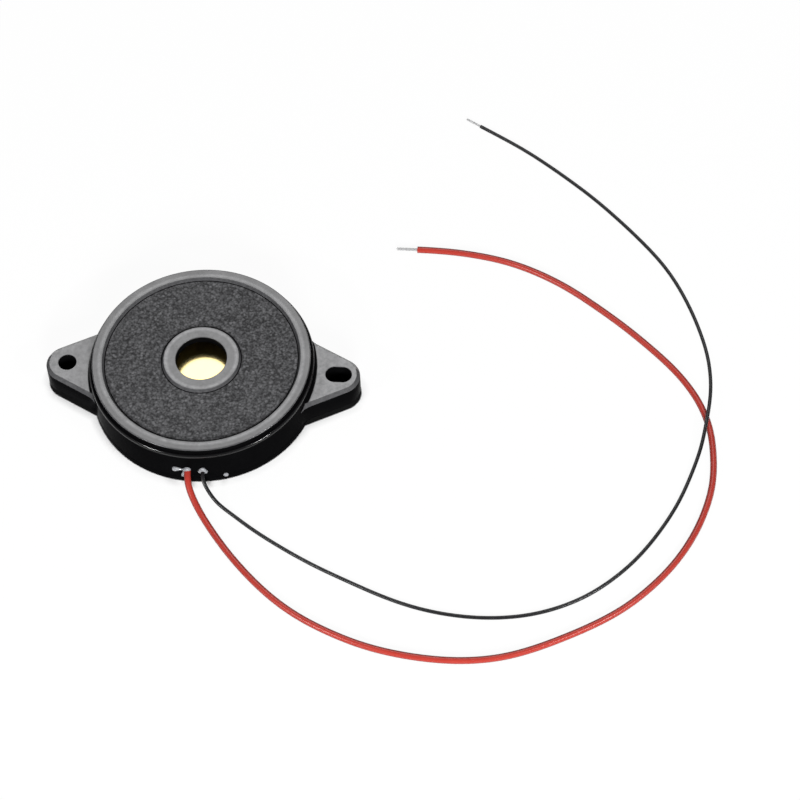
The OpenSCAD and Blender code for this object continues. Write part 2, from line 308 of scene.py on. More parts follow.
housingValues = {  # in mm
    "steps": 520,
    "wall": 1.4,
    "rimInset": 0.45,
    "rimWidth": 1.4,
    "rimHeight": 0.8,
    "shoulder": 0.4,
    "recess": 0.4,
    "border": 0.2,  # the slope on each side of the grain
    "blackLine": 0.12,  # a painted shade line: the grain stops this far short of each slope, and those faces keep the near-black gloss
    "collarWidth": 1.65,
    "ledge": 1.1,
    "edge": 0.14,
    "portEdge": 0.08,
    "fineEdge": 0.04,
    "grainStart": 0.15,
    "grainStep": 0.13,
    "grainDepth": 0.035,
    "grainFade": 0.25,
    "grainShift": 40,
    "grainContrast": 5,
    "grainLayers": ((0.5, 0.42, 3), (0.3, 0.24, 5), (0.2, 0.14, 7)),  # weight, cell, seed
    "earTip": 2.85,
    "earTaper": 28,  # degrees
    "earFillet": 3.0,
    "earOffWall": 4,  # degrees of the fillet that are left out beside the wall
    "earSteps": (12, 20, 28),  # along the root, the fillet and the tip
    "earBevel": 0.45,
    "earLowerEdge": 0.3,  # the share of the edge at which its middle point lies
    "boreEdge": 0.05,
    "borePast": 1.0,
    "slotLength": 3.5,
    "slotWidth": 2.4,
    "slotSteps": 32,
    "exitGap": 0.1,
    "exitSteps": 48,
}


def housingProfile(v):
    # the cup's section, up the wall, in over the face and down the sound hole to the cavity
    rim = bodyRadius - v["rimInset"]
    face = rim - v["rimWidth"]
    collar = portRadius + v["collarWidth"]
    faceZ = bodyHeight - v["recess"]
    shoulderZ = bodyHeight - v["rimHeight"]
    frontZ = bodyHeight - portDepth
    inner = bodyRadius - v["wall"]
    ledge = inner - v["ledge"]
    edge, fine, start = v["edge"], v["fineEdge"], v["grainStart"]
    grainOut, grainIn = face - v["border"], collar + v["border"]
    rows = int((grainOut - grainIn) / v["grainStep"])
    grain = [(r, faceZ, 0) for r in np.linspace(grainOut - start, grainIn + start, rows)]
    return roundCorners([
        (bodyRadius, housingBase, edge), (bodyRadius, shoulderZ, v["shoulder"]),
        (rim, shoulderZ, fine), (rim, bodyHeight, edge), (face, bodyHeight, edge),
        (grainOut, faceZ, fine), *grain, (grainIn, faceZ, fine), (collar, bodyHeight, edge),
        (portRadius, bodyHeight, v["portEdge"]), (portRadius, frontZ, fine), (ledge, frontZ, fine),
        (ledge, plateTop, fine), (inner, plateTop, fine), (inner, housingBase, fine),
    ]), (grainIn, grainOut, faceZ)


def grainHeight(v, x, y):
    # layers of value noise, the coarsest the strongest, pressed towards pits and peaks
    total = sum(weight * smoothNoise(x, y, cell, seed) for weight, cell, seed in v["grainLayers"])
    return np.tanh((total - 0.5) * v["grainContrast"])


def earOutline(v, inset, side):
    # half an outline is a root arc in the wall, a fillet that touches the wall, and a tip arc
    # around the hole; the other half is its mirror image
    taper = radians(v["earTaper"])
    across = v["earTip"] + holeX * sin(taper) + v["earFillet"]
    along = sqrt((bodyRadius + v["earFillet"]) ** 2 - across ** 2)
    centre = (across * sin(taper) + along * cos(taper), across * cos(taper) - along * sin(taper))
    root = np.arctan2(centre[1], centre[0])
    filletStart = root + radians(v["earOffWall"]) - pi
    rootSteps, filletSteps, tipSteps = v["earSteps"]
    half = np.concatenate([
        arcPoints((0, 0), bodyRadius - v["wall"] / 2, 0, root, rootSteps),
        arcPoints(centre, v["earFillet"] + inset, filletStart, -pi / 2 - taper, filletSteps),
        arcPoints((holeX, 0), v["earTip"] - inset, pi / 2 - taper, 0, tipSteps),
    ])
    mirrored = half[-2:0:-1] * [1, -1]
    outline = np.concatenate([half, mirrored])[::-1]
    return outline if side > 0 else outline[::-1] * [-1, 1]


def slotOutline(length, width, grow, steps):
    # two half circles joined by straight sides
    radius, reach = width / 2 + grow, (length - width) / 2
    return np.concatenate([arcPoints((reach, 0), radius, -pi / 2, pi / 2, steps),
                           arcPoints((-reach, 0), radius, pi / 2, 3 * pi / 2, steps)])


def makeEar(v, side):
    # softened below, straight up the side and bevelled above: inset and height of each outline
    bevel, edge = v["earBevel"], v["edge"]
    eased = edge * v["earLowerEdge"]
    levels = ((edge, housingBase), (eased, housingBase + eased), (0, housingBase + edge),
              (0, earTop - bevel), (bevel, earTop))
    return stackOutlines("ear", [earOutline(v, inset, side) for inset, z in levels],
                         [z for inset, z in levels])


def makeEarCutter(v, length, width, x):
    # straight through the ear, opening at 45 degrees at both faces
    edge, past = v["boreEdge"], v["borePast"]
    levels = ((edge + past, housingBase - past), (0, housingBase + edge),
              (0, earTop - edge), (edge + past, earTop + past))
    outlines = [slotOutline(length, width, grow, v["slotSteps"]) + [x, 0] for grow, z in levels]
    return stackOutlines("bore", outlines, [z for grow, z in levels])


def makeExitCutter(v, x, z, leadRadius):
    # a round rod along Y through the wall
    outline = arcPoints((0, 0), leadRadius + v["exitGap"], 0, 2 * pi, v["exitSteps"])[:-1]
    cutter = stackOutlines("exit", [outline, outline], [0, v["wall"] * 2])
    place = Matrix.Translation((x, v["wall"] - bodyRadius, z))
    cutter.data.transform(place @ Matrix.Rotation(pi / 2, 4, "X"))
    return cutter


def makeHousing(v):
    profile, (grainIn, grainOut, faceZ) = housingProfile(v)
    points = revolve(profile, v["steps"])
    # the grain stands up and down from the face, and dies away at its borders
    r = profile[:, 0]
    onFace = np.isclose(profile[:, 1], faceZ)
    fade = np.clip(np.minimum(grainOut - r, r - grainIn) / v["grainFade"], 0, 1) * onFace
    x, y = points[..., 0] + v["grainShift"], points[..., 1] + v["grainShift"]
    points[..., 2] += v["grainDepth"] * fade * grainHeight(v, x, y)
    faces = gridFaces(v["steps"], len(profile), wrapRows=True)[:, ::-1]
    housing = makePiece("moulded_housing", points.reshape(-1, 3), faces.tolist())
    exitHeight, bore = leadValues["exitHeight"], 2 * boreRadius
    combine(housing, [
        (makeEar(v, 1), "UNION"),
        (makeEar(v, -1), "UNION"),
        (makeEarCutter(v, v["slotLength"], v["slotWidth"], holeX), "DIFFERENCE"),
        (makeEarCutter(v, bore, bore, -holeX), "DIFFERENCE"),
        (makeExitCutter(v, leadValues["redExit"], exitHeight, redRadius), "DIFFERENCE"),
        (makeExitCutter(v, leadValues["blackExit"], exitHeight, blackRadius), "DIFFERENCE"),
    ])
    housing.data.transform(Matrix.Scale(mm, 4))
    shadeSmooth(housing)
    return housing


paintValues = {  # in mm; up and far are the parts of a face's direction along Z and Y
    "faceBelow": 0.06,  # how far under the face the grain's pits still count
    "rimBelow": 0.12,  # how far down the rim's rounded edges the smooth top reaches
    "rimPast": 0.01,
    "slopePast": (0.02, 0.05),  # past a slope's upper and lower end
    "slopeUp": (0.05, 0.9),
    "shoulderStart": 0.03,
    "shoulderUp": (0.10, 0.84),
    "shoulderBelow": 0.3,
    "earPast": (0.01, 0.02),  # inside the wall, and above the ears' tops
    "earUp": 0.4,
    "earEdgeUp": 0.97,
    "earEdgeFar": 0.3,
    "underside": -0.9,
}


def paintHousing(housing, v, p, satin, grain, gloss, shoulder, dull):
    # the finish of a face follows from where its middle lies and which way it points, and each
    # one painted covers the ones before it
    middle, way = faceArrays(housing)
    r, z, up, far = np.hypot(middle[:, 0], middle[:, 1]), middle[:, 2], way[:, 2], way[:, 1]
    rim = bodyRadius - v["rimInset"]
    face, collar = rim - v["rimWidth"], portRadius + v["collarWidth"]
    slope, shadeLineEnd = v["border"], v["border"] + v["blackLine"]
    above, below = p["slopePast"]
    inside, over = p["earPast"]
    shoulderTop = bodyHeight - v["rimHeight"]
    onFace = z > bodyHeight - v["recess"] - p["faceBelow"]
    # the grain stops a painted shade line short of each slope, where the near-black gloss stays
    onGrain = onFace & between(r, collar + shadeLineEnd, face - shadeLineEnd)
    # the slopes beside the grain take the darker dull finish, which paints part of the shade at the
    # grain's borders
    onSlope = onFace & between(up, *p["slopeUp"]) & (
        between(r, face - slope - below, face + above)
        | between(r, collar - above, collar + slope + below))
    onTop = (z > bodyHeight - p["rimBelow"]) & (r < rim + p["rimPast"])
    onShoulder = (r > rim + p["shoulderStart"]) & between(up, *p["shoulderUp"]) & between(
        z, shoulderTop - v["shoulder"], bodyHeight - p["shoulderBelow"])
    onEar = (r > bodyRadius - inside) & (up > p["earUp"]) & between(
        z, earTop - v["earBevel"], earTop + over)
    onEarEdge = onEar & (up < p["earEdgeUp"]) & (far < p["earEdgeFar"])
    materials = (satin, grain, gloss, shoulder, dull)
    finish = np.full(len(r), materials.index(gloss))
    for material, faces in ((satin, onTop | onEar), (grain, onGrain), (dull, onSlope),
                            (shoulder, onShoulder & ~onEar), (dull, onEarEdge),
                            (dull, up < p["underside"])):
        finish[faces] = materials.index(material)
    paintFaces(housing, materials, finish)


housing = makeHousing(housingValues)
print("housing moulded,", len(housing.data.polygons), "faces")


coverValues = {  # in mm
    "steps": 240,
    "thickness": 0.85,
    "ringOuter": 13.5,
    "ringWidth": 1.0,
    "edge": 0.2,
    "fineEdge": 0.08,
}


def makeCover(v):
    # a disc with a ring that locates it in the housing; the first and last points are its poles
    thickness, fine, halfway = v["thickness"], v["fineEdge"], bodyRadius * 0.5
    ringOuter, ringInner = v["ringOuter"], v["ringOuter"] - v["ringWidth"]
    profile = roundCorners([
        (0, 0, 0), (halfway, 0, 0), (bodyRadius, 0, v["edge"]), (bodyRadius, thickness, fine),
        (ringOuter, thickness, 0), (ringOuter, coverTop, fine), (ringInner, coverTop, fine),
        (ringInner, thickness, 0), (halfway, thickness, 0), (0, thickness, 0),
    ])
    points = revolve(profile, v["steps"])
    faces = gridFaces(v["steps"], len(profile), wrapRows=True, wrapColumns=False)[:, ::-1]
    cover = makePiece("closing_cover", points.reshape(-1, 3) * mm, faces.tolist())
    closePoles(cover)
    shadeSmooth(cover)
    return cover


def paintCover(cover, p, gloss, dull):
    # glossy round its edge, dull where it points down
    way = faceArrays(cover)[1]
    paintFaces(cover, (gloss, dull), way[:, 2] < p["underside"])


cover = makeCover(coverValues)
print("cover made")


glueValues = {  # places and radii in mm; a lobe is (across, up, out, radius) from the blob's middle
    "red": {"x": -0.9, "z": 2.75, "lobes": (
        (0.4, 0.15, 0.0, 0.47), (-1.25, 0.15, 0.0, 0.38), (-0.12, -0.55, 0.4, 0.3),
        (0, 0, 0, 0.25))},
    "black": {"x": 1.5, "z": 2.75, "lobes": (
        (-0.4, -0.32, 0.0, 0.26), (0.4, -0.32, 0.0, 0.26), (0, 0.22, 0.0, 0.34),
        (-0.2, 0, 0, 0.3), (0.2, 0, 0, 0.3))},
    "drop": {"x": 4.33, "z": 1.08, "lobes": ((0, 0, 0, 0.3), (0.16, 0.02, 0.0, 0.26))},
    "sink": 0.03,
    "steps": 64,
    "power": 8,  # the higher, the sharper the creases between lobes
    "seamInset": 0.2,
    "seamWidth": 1.0,
    "seamSteps": 180,
}


def blobPoints(v, spec):
    # a star-shaped blob: along each direction it reaches to the far side of its lobes, blended
    # by a high power mean, and its back is pressed flat against the wall
    steps = v["steps"]
    polar = np.linspace(0, pi, steps // 2 + 1)[:, None]
    turn = np.linspace(0, 2 * pi, steps, endpoint=False)[None, :]
    way = np.stack([np.sin(polar) * np.cos(turn), np.sin(polar) * np.sin(turn),
                    np.cos(polar) + 0 * turn], -1)
    lobes = np.array(spec["lobes"])
    centres, radii = lobes[:, [0, 2, 1]] * [1, -1, 1], lobes[:, 3]
    ahead = way @ centres.T
    inside = ahead ** 2 - (centres ** 2).sum(1) + radii ** 2
    reach = np.where(inside > 0, ahead + np.sqrt(np.maximum(inside, 0)), 0)
    reach = (np.maximum(reach, 0) ** v["power"]).sum(-1) ** (1 / v["power"])
    onWall = -sqrt(bodyRadius ** 2 - spec["x"] ** 2)
    points = np.array([spec["x"], onWall, spec["z"]]) + way * reach[..., None]
    flat = np.hypot(points[..., 0], points[..., 1])
    points[..., :2] *= (np.maximum(flat, bodyRadius - v["sink"]) / flat)[..., None]
    return points.reshape(-1, 3)


def blobFaces(v):
    return gridFaces(v["steps"] // 2 + 1, v["steps"])[:, ::-1]


def finishGlue(name, points, faces):
    # from mm to a closed piece, creased only where lobes meet sharply
    glue = makePiece(name, points * mm, faces.tolist())
    closePoles(glue)
    shadeSmooth(glue, 60)
    return glue


def makeBlob(name, v, spec):
    return finishGlue(name, blobPoints(v, spec), blobFaces(v))


def makeSeamGlue(v):
    # a thin ring in the seam, and the drop that was pressed out of it
    low, high = coverValues["thickness"], housingBase
    outer = bodyRadius - v["seamInset"]
    inner = outer - v["seamWidth"]
    profile = np.array([(outer, low), (outer, high), (inner, high), (inner, low)])
    ring = revolve(profile, v["seamSteps"]).reshape(-1, 3)
    ringFaces = gridFaces(v["seamSteps"], len(profile), wrapRows=True)[:, ::-1]
    return finishGlue("seam_glue", np.concatenate([ring, blobPoints(v, v["drop"])]),
                      np.concatenate([ringFaces, blobFaces(v) + len(ring)]))


redGlue = makeBlob("red_glue_dab", glueValues, glueValues["red"])
blackGlue = makeBlob("black_glue_dab", glueValues, glueValues["black"])
seamGlue = makeSeamGlue(glueValues)
print("glue set")


strandValues = {  # in mm
    "redRadius": 0.2,
    "blackRadius": 0.15,
    "redLength": 2.9,
    "blackLength": 2.4,
    "inside": 0.4,
    "strands": 6,
    "pitch": 2.6,
    "groove": 0.12,  # the share of the radius by which the grooves between strands are sunk
    "rows": 72,
    "columns": 48,
}


def makeStrands(name, v, route, lift, radius, length):
    # n outer strands: the radius is r (1 - g + g |cos(n (a - twist) / 2)|), twisting along the
    # end, and it closes at the tip over a quarter circle
    points = routePoints(route, lift)
    end = points[-1]
    along = end - points[-2]
    along = along / np.linalg.norm(along)
    side = np.array([-along[1], along[0], 0])
    up = np.array([0, 0, 1.0])
    s = np.linspace(0, 1, v["rows"])[:, None]
    run = length + v["inside"]
    a = np.linspace(0, 2 * pi, v["columns"], endpoint=False)[None, :]
    twist = 2 * pi * s * run / v["pitch"]
    lobed = 1 - v["groove"] + v["groove"] * np.abs(np.cos(v["strands"] / 2 * (a - twist)))
    cap = radius / run
    closing = np.sqrt(np.clip(1 - (np.maximum(s - (1 - cap), 0) / cap) ** 2, 0, 1)) * (s > 0)
    reach = radius * lobed * closing
    place = end - along * v["inside"] + (s * run)[..., None] * along
    grid = place + reach[..., None] * (np.cos(a)[..., None] * side + np.sin(a)[..., None] * up)
    faces = gridFaces(v["rows"], v["columns"])
    strands = makePiece(name, grid.reshape(-1, 3) * mm, faces.tolist())
    closePoles(strands)
    shadeSmooth(strands, 50)
    return strands


redStrands = makeStrands("red_strands", strandValues, redRoute, redRadius,
                         strandValues["redRadius"], strandValues["redLength"])
blackStrands = makeStrands("black_strands", strandValues, blackRoute, blackRadius,
                           strandValues["blackRadius"], strandValues["blackLength"])
print("stripped ends twisted")


class Nodes:
    # short ways to add and join nodes in the tree of a material or the world
    def __init__(self, tree):
        self.tree = tree

    def join(self, value, socket):
        # a socket takes what another node gives out, or a plain value
        if hasattr(value, "is_linked"):
            self.tree.links.new(value, socket)
        else:
            socket.default_value = value

    def add(self, kind, inputs=(), **settings):
        made = self.tree.nodes.new(kind)
        for key, value in settings.items():
            setattr(made, key, value)
        for key, value in dict(inputs).items():
            self.join(value, made.inputs[key])
        return made

    def math(self, operation, *values):
        made = self.add("ShaderNodeMath", dict(enumerate(values)), operation=operation)
        return made.outputs[0]

    def length(self, a, b):
        # the square root of a squared + b squared
        squares = self.math("ADD", self.math("MULTIPLY", a, a), self.math("MULTIPLY", b, b))
        return self.math("SQRT", squares)

    def spread(self, value, low, high, toLow, toHigh):
        # maps low..high to toLow..toHigh, held at both ends
        made = self.add("ShaderNodeMapRange", {
            "Value": value, "From Min": low, "From Max": high, "To Min": toLow, "To Max": toHigh})
        return made.outputs["Result"]

    def blend(self, value, low, high):
        # a colour between two, by value; either may come from another node
        low, high = (c if hasattr(c, "is_linked") else (*c, 1) for c in (low, high))
        made = self.add("ShaderNodeMix", {"Factor": value, 6: low, 7: high}, data_type="RGBA")
        return made.outputs[2]

    def acrossAndAlong(self, place):
        # the X and the Y of a place
        split = self.add("ShaderNodeSeparateXYZ", {"Vector": place})
        return split.outputs["X"], split.outputs["Y"]


class Surface(Nodes):
    # a principled material on Object coordinates
    def __init__(self, name, **values):
        self.material = bpy.data.materials.new(name)
        self.material.use_nodes = True
        super().__init__(self.material.node_tree)
        self.shader = self.tree.nodes["Principled BSDF"]
        for key, value in values.items():
            self.shader.inputs[key.replace("_", " ")].default_value = value
        self.place = self.add("ShaderNodeTexCoord").outputs["Object"]

    def paint(self, value, socket):
        self.join(value, self.shader.inputs[socket])

    def noise(self, size, detail=3, roughness=0.6, place=None):
        # noise whose features are about size mm across
        made = self.add("ShaderNodeTexNoise", {
            "Vector": place or self.place, "Scale": 1 / (size * mm), "Detail": detail,
            "Roughness": roughness})
        return made.outputs["Fac"]

    def wobble(self, size, reach):
        # the place, shifted at random by up to reach mm over features about size mm across
        noise = self.add("ShaderNodeTexNoise", {"Vector": self.place, "Scale": 1 / (size * mm)})
        centred = self.add("ShaderNodeVectorMath", {0: noise.outputs["Color"], 1: (0.5, 0.5, 0.5)},
                           operation="SUBTRACT")
        shift = self.add("ShaderNodeVectorMath", {
            0: centred.outputs["Vector"], "Scale": reach * mm}, operation="SCALE")
        moved = self.add("ShaderNodeVectorMath", {0: self.place, 1: shift.outputs["Vector"]},
                         operation="ADD")
        return moved.outputs["Vector"]

    def bump(self, height, depth):
        # height 0..1 stands for depth mm
        made = self.add("ShaderNodeBump", {"Height": height, "Distance": depth * mm})
        self.paint(made.outputs["Normal"], "Normal")


plasticValues = {  # sizes in mm; each roughness is a range, and each tooth a height
    "satinDark": (0.040, 0.040, 0.042),
    "satinLight": (0.064, 0.064, 0.067),
    "satinRough": (0.18, 0.28),
    "satinTooth": 0.008,
    "rubbedLight": (0.200, 0.200, 0.206),
    "rubbedWidth": 0.35,  # over which a painted edge highlight fades out
    "rimRubbed": 0.4,  # how far the painted edge highlights lie inside the rim and the collar
    "collarRubbed": 0.35,
    "slopeReach": (0.15, 0.35),  # past the collar, where the painted highlight by its slope fades out
    "slopeRubbed": 0.25,
    "earReach": (-0.1, 0.1),  # past the wall, where the ears' painted highlight comes in
    "earRubbed": 0.9,
    "rootReach": (-0.15, -0.1),  # past the wall, where the painted shade line at the ears' root comes in
    "rootWidth": 0.25,
    "rootFade": 0.12,
    "grainSize": 0.42,
    "grainDark": (0.022, 0.022, 0.023),
    "grainLight": (0.142, 0.142, 0.148),
    "grainRough": (0.75, 0.55),
    "grainTooth": 0.04,
    "dullDark": (0.035, 0.035, 0.037),
    "dullLight": (0.075, 0.075, 0.078),
    "dullRough": (0.45, 0.6),
    "dullTooth": 0.02,
    "glossDark": (0.0014, 0.0014, 0.0016),
    "glossLight": (0.0032, 0.0032, 0.0035),
    "glossTooth": 0.01,
    "wall": (0.0012, (0.16, 0.26)),  # reflection level and roughness
    "shoulder": (0.45, (0.1, 0.18)),
}


def satinPlastic(v):
    # slow mottling in colour, reflection and roughness, with a fine tooth. With r the distance
    # from the axis, painted highlights lighten it by 1 - |r - edge| / width at the face's outer and
    # inner edges, a little as far as the slope round the collar, and on the ears, all that lies
    # past the wall but a painted shade line at its root, near black and without reflection
    s = Surface("satin_plastic")
    slow, fine, streak = s.noise(3), s.noise(0.09, detail=2), s.noise(0.9)
    r = s.math("DIVIDE", s.length(*s.acrossAndAlong(s.place)), mm)
    face = bodyRadius - housingValues["rimInset"] - housingValues["rimWidth"]
    collar = portRadius + housingValues["collarWidth"]

    def nearEdge(edge):
        # 1 at that distance from the axis, down to 0 a painted highlight's width away on both sides
        away = s.math("ABSOLUTE", s.math("SUBTRACT", r, edge))
        return s.spread(away, 0, v["rubbedWidth"], 1, 0)

    def past(edge, reach, start, end):
        # from start to end between two distances past an edge
        return s.spread(r, edge + reach[0], edge + reach[1], start, end)

    # painted highlights: lighter bands inside the rim's and the collar's edges, on the ears and by
    # the collar's slope
    highlit = s.math("ADD", nearEdge(face + v["rimRubbed"]), nearEdge(collar - v["collarRubbed"]))
    highlit = s.math("ADD", highlit, past(bodyRadius, v["earReach"], 0, v["earRubbed"]))
    highlit = s.math("ADD", highlit, past(collar, v["slopeReach"], v["slopeRubbed"], 0))
    # a painted shade line along the ears' root at the wall: near black, with its reflection taken
    # away
    rootShadeEnd = (v["rootWidth"], v["rootWidth"] + v["rootFade"])
    rootShade = s.math("MULTIPLY", past(bodyRadius, v["rootReach"], 0, 1),
                      past(bodyRadius, rootShadeEnd, 1, 0))
    mottled = s.blend(s.spread(s.math("ADD", slow, streak), 0.7, 1.3, 0, 1), v["satinDark"],
                      v["satinLight"])
    # the painted highlights, varied by the streaky noise, pull the colour towards a light grey
    withHighlights = s.blend(s.math("MULTIPLY", highlit, s.spread(streak, 0.3, 0.7, 0.3, 0.9)), mottled,
                   v["rubbedLight"])
    # the painted shade line at the ears' root covers the rest in near black
    s.paint(s.blend(rootShade, withHighlights, v["glossLight"]), "Base Color")
    s.paint(s.math("MULTIPLY", s.spread(rootShade, 0, 1, 1, 0), s.spread(slow, 0.3, 0.7, 0.75, 1.0)),
            "Specular IOR Level")
    s.paint(s.spread(s.math("ADD", slow, fine), 0.6, 1.4, *v["satinRough"]), "Roughness")
    s.bump(s.math("ADD", fine, streak), v["satinTooth"])
    return s.material


def grainPlastic(v):
    # sparkle: every cell of a fine cell pattern is a grain with a lightness of its own, lightest
    # in its middle: grain = own lightness x (1 - distance from the middle), then
    # 0.36 grain + 0.64 fine noise, with a slow drift
    s = Surface("grain_plastic", Specular_IOR_Level=0.3)
    fine, slow = s.noise(0.26, detail=2), s.noise(4)
    cells = s.add("ShaderNodeTexVoronoi", {
        "Vector": s.wobble(0.6, 0.25), "Scale": 1 / (v["grainSize"] * mm), "Randomness": 1.0})
    own = s.add("ShaderNodeSeparateColor", {"Color": cells.outputs["Color"]}).outputs[0]
    middle = s.spread(cells.outputs["Distance"], 0, 0.75, 1, 0)
    grain = s.math("MULTIPLY", s.spread(own, 0, 1, 0.35, 1), middle)
    speckle = s.math("ADD", s.math("MULTIPLY", grain, 0.36), s.math("MULTIPLY", fine, 0.64))
    speckle = s.math("ADD", speckle, s.spread(slow, 0.3, 0.7, -0.03, 0.03))
    s.paint(s.blend(s.spread(speckle, 0.26, 0.68, 0, 1), v["grainDark"], v["grainLight"]),
            "Base Color")
    s.paint(s.spread(speckle, 0.35, 0.65, *v["grainRough"]), "Roughness")
    s.bump(speckle, v["grainTooth"])
    return s.material


def dullPlastic(v):
    # the slopes beside the grain, the ears' edges and the underside: dull, with a coarse uneven
    # tooth; coarse and fine noise together lighten and darken it
    s = Surface("dull_plastic", Specular_IOR_Level=0.25)
    coarse, fine = s.noise(0.5), s.noise(0.15)
    s.paint(s.blend(s.spread(s.math("ADD", coarse, fine), 0.7, 1.3, 0, 1), v["dullDark"],
                    v["dullLight"]), "Base Color")
    s.paint(s.spread(fine, 0.3, 0.7, *v["dullRough"]), "Roughness")
    s.bump(coarse, v["dullTooth"])
    return s.material


def glossPlastic(name, v, level, rough):
    # near black, with faint slow unevenness in colour, roughness and height:
    # height = slow noise + 0.2 fine noise
    s = Surface(name, Specular_IOR_Level=level)
    slow, fine = s.noise(3.5), s.noise(0.5, detail=4)
    s.paint(s.blend(slow, v["glossDark"], v["glossLight"]), "Base Color")
    s.paint(s.spread(fine, 0.35, 0.65, *rough), "Roughness")
    s.bump(s.math("ADD", slow, s.math("MULTIPLY", fine, 0.2)), v["glossTooth"])
    return s.material


skinValues = {  # the darker and the lighter colour, the range of roughness, the height in mm
    # the glue's pale greys are partly its own milkiness and partly painted highlight
    "glue": ((0.26, 0.27, 0.29), (0.46, 0.47, 0.49), (0.12, 0.3), 0.05),
    "brass": ((0.76, 0.61, 0.27), (0.82, 0.68, 0.32), (0.13, 0.22), 0.0015),
    "ceramic": ((0.70, 0.66, 0.53), (0.80, 0.76, 0.63), (0.6, 0.8), 0.008),
    "red": ((0.31, 0.024, 0.016), (0.38, 0.036, 0.024), (0.26, 0.36), 0.02),
    "black": ((0.005, 0.005, 0.006), (0.010, 0.010, 0.011), (0.26, 0.36), 0.02),
    # and for these the mottling's size in mm, and how metallic they are
    "tinned": ((0.42, 0.42, 0.43), (0.60, 0.60, 0.60), (0.35, 0.5), 0.01, 0.3, 0.6),
    "solder": ((0.55, 0.56, 0.58), (0.72, 0.73, 0.74), (0.18, 0.35), 0.03, 0.4, 1.0),
    "silver": ((0.74, 0.74, 0.72), (0.86, 0.86, 0.84), (0.35, 0.5), 0.006, 0.5, 1.0),
}


def clearGlue(low, high, rough, height):
    # milky, with a wavy skin: one slow noise gives colour, roughness and height; its pale grey is
    # partly the glue's own milkiness and partly painted highlight
    s = Surface("clear_glue", IOR=1.48, Transmission_Weight=0.35)
    slow = s.noise(0.5, detail=2)
    s.paint(s.blend(slow, low, high), "Base Color")
    s.paint(s.spread(slow, 0.3, 0.7, *rough), "Roughness")
    s.bump(slow, height)
    return s.material


def brassSheet(low, high, rough, height):
    # rolled sheet: noise drawn out along X gives rolling lines, slow noise gives faint tarnish
    s = Surface("brass_sheet", Metallic=1.0)
    stretch = s.add("ShaderNodeMapping", {"Vector": s.place, "Scale": (0.06, 1, 1)})
    lines = s.noise(0.05, place=stretch.outputs["Vector"])
    slow = s.noise(3)
    s.paint(s.blend(slow, low, high), "Base Color")
    s.paint(s.spread(s.math("ADD", lines, slow), 0.7, 1.3, *rough), "Roughness")
    s.bump(lines, height)
    return s.material


def metalSkin(name, low, high, rough, height, size, metallic):
    # a metal skin whose colour, roughness and height follow one noise
    s = Surface(name, Metallic=metallic)
    slow = s.noise(size)
    s.paint(s.blend(slow, low, high), "Base Color")
    s.paint(s.spread(slow, 0.3, 0.7, *rough), "Roughness")
    s.bump(slow, height)
    return s.material


def firedCeramic(low, high, rough, height):
    # matt and even: slow noise in colour, fine pores in roughness and height
    s = Surface("fired_ceramic")
    fine, slow = s.noise(0.06), s.noise(2)
    s.paint(s.blend(slow, low, high), "Base Color")
    s.paint(s.spread(fine, 0.3, 0.7, *rough), "Roughness")
    s.bump(fine, height)
    return s.material


def insulation(name, low, high, rough, height):
    # soft gloss: slow mottling in colour, with painted shade taking it down to 0.45 of it where the
    # round turns away from the view, and a fine pulled skin in roughness and height
    s = Surface(name, Specular_IOR_Level=0.5)
    slow, fine = s.noise(3), s.noise(0.25)
    facing = s.add("ShaderNodeLayerWeight", {"Blend": 0.35}).outputs["Facing"]
    # painted shade: the colour darkens towards the lead's edges, where its round turns away
    edgeShade = [0.45 * c for c in low]
    s.paint(s.blend(s.spread(facing, 0.2, 0.85, 0, 1), s.blend(slow, low, high), edgeShade),
            "Base Color")
    s.paint(s.spread(fine, 0.3, 0.7, *rough), "Roughness")
    s.bump(s.math("ADD", slow, fine), height)
    return s.material


satin, grain = satinPlastic(plasticValues), grainPlastic(plasticValues)
gloss = glossPlastic("gloss_plastic", plasticValues, *plasticValues["wall"])
shoulder = glossPlastic("shoulder_plastic", plasticValues, *plasticValues["shoulder"])
dull = dullPlastic(plasticValues)
glue = clearGlue(*skinValues["glue"])
tinned = metalSkin("tinned_copper", *skinValues["tinned"])
solder = metalSkin("solder_skin", *skinValues["solder"])
silver = metalSkin("fired_silver", *skinValues["silver"])
red = insulation("red_skin", *skinValues["red"])
black = insulation("black_skin", *skinValues["black"])

paintHousing(housing, housingValues, paintValues, satin, grain, gloss, shoulder, dull)
paintCover(cover, paintValues, gloss, dull)
for piece, material in ((redGlue, glue), (blackGlue, glue), (seamGlue, glue),
                        (redStrands, tinned), (blackStrands, tinned), (redLead, red),
                        (blackLead, black)):
    piece.data.materials.append(material)

cadFinishes = {
    "brass_plate": brassSheet(*skinValues["brass"]),
    "plate_adhesive": glue,
    "piezo_ceramic": firedCeramic(*skinValues["ceramic"]),
    "silver_electrode": silver,
    "red_solder_joint": solder,
    "black_solder_joint": solder,
    "red_inner_wire": tinned,
    "black_inner_wire": tinned,
}
for name, material in cadFinishes.items():
    cadNode = frame["nodes"][name]
    cadNode.data.materials.clear()
    cadNode.data.materials.append(material)
print("surfaces painted")


# each new piece, the node that it stands for and the name of its slot
stands = (
    (housing, "housing", "black_plastic"), (cover, "back_cover", "black_plastic"),
    (seamGlue, "cover_glue", "clear_glue"), (redLead, "red_lead", "red_insulation"),
    (blackLead, "black_lead", "black_insulation"), (redStrands, "red_bare_end", "tinned_wire"),
    (blackStrands, "black_bare_end", "tinned_wire"), (redGlue, "red_exit_glue", "clear_glue"),
    (blackGlue, "black_exit_glue", "clear_glue"),
)
for piece, node, slotName in stands:
    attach(piece, "root")
    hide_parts(node)


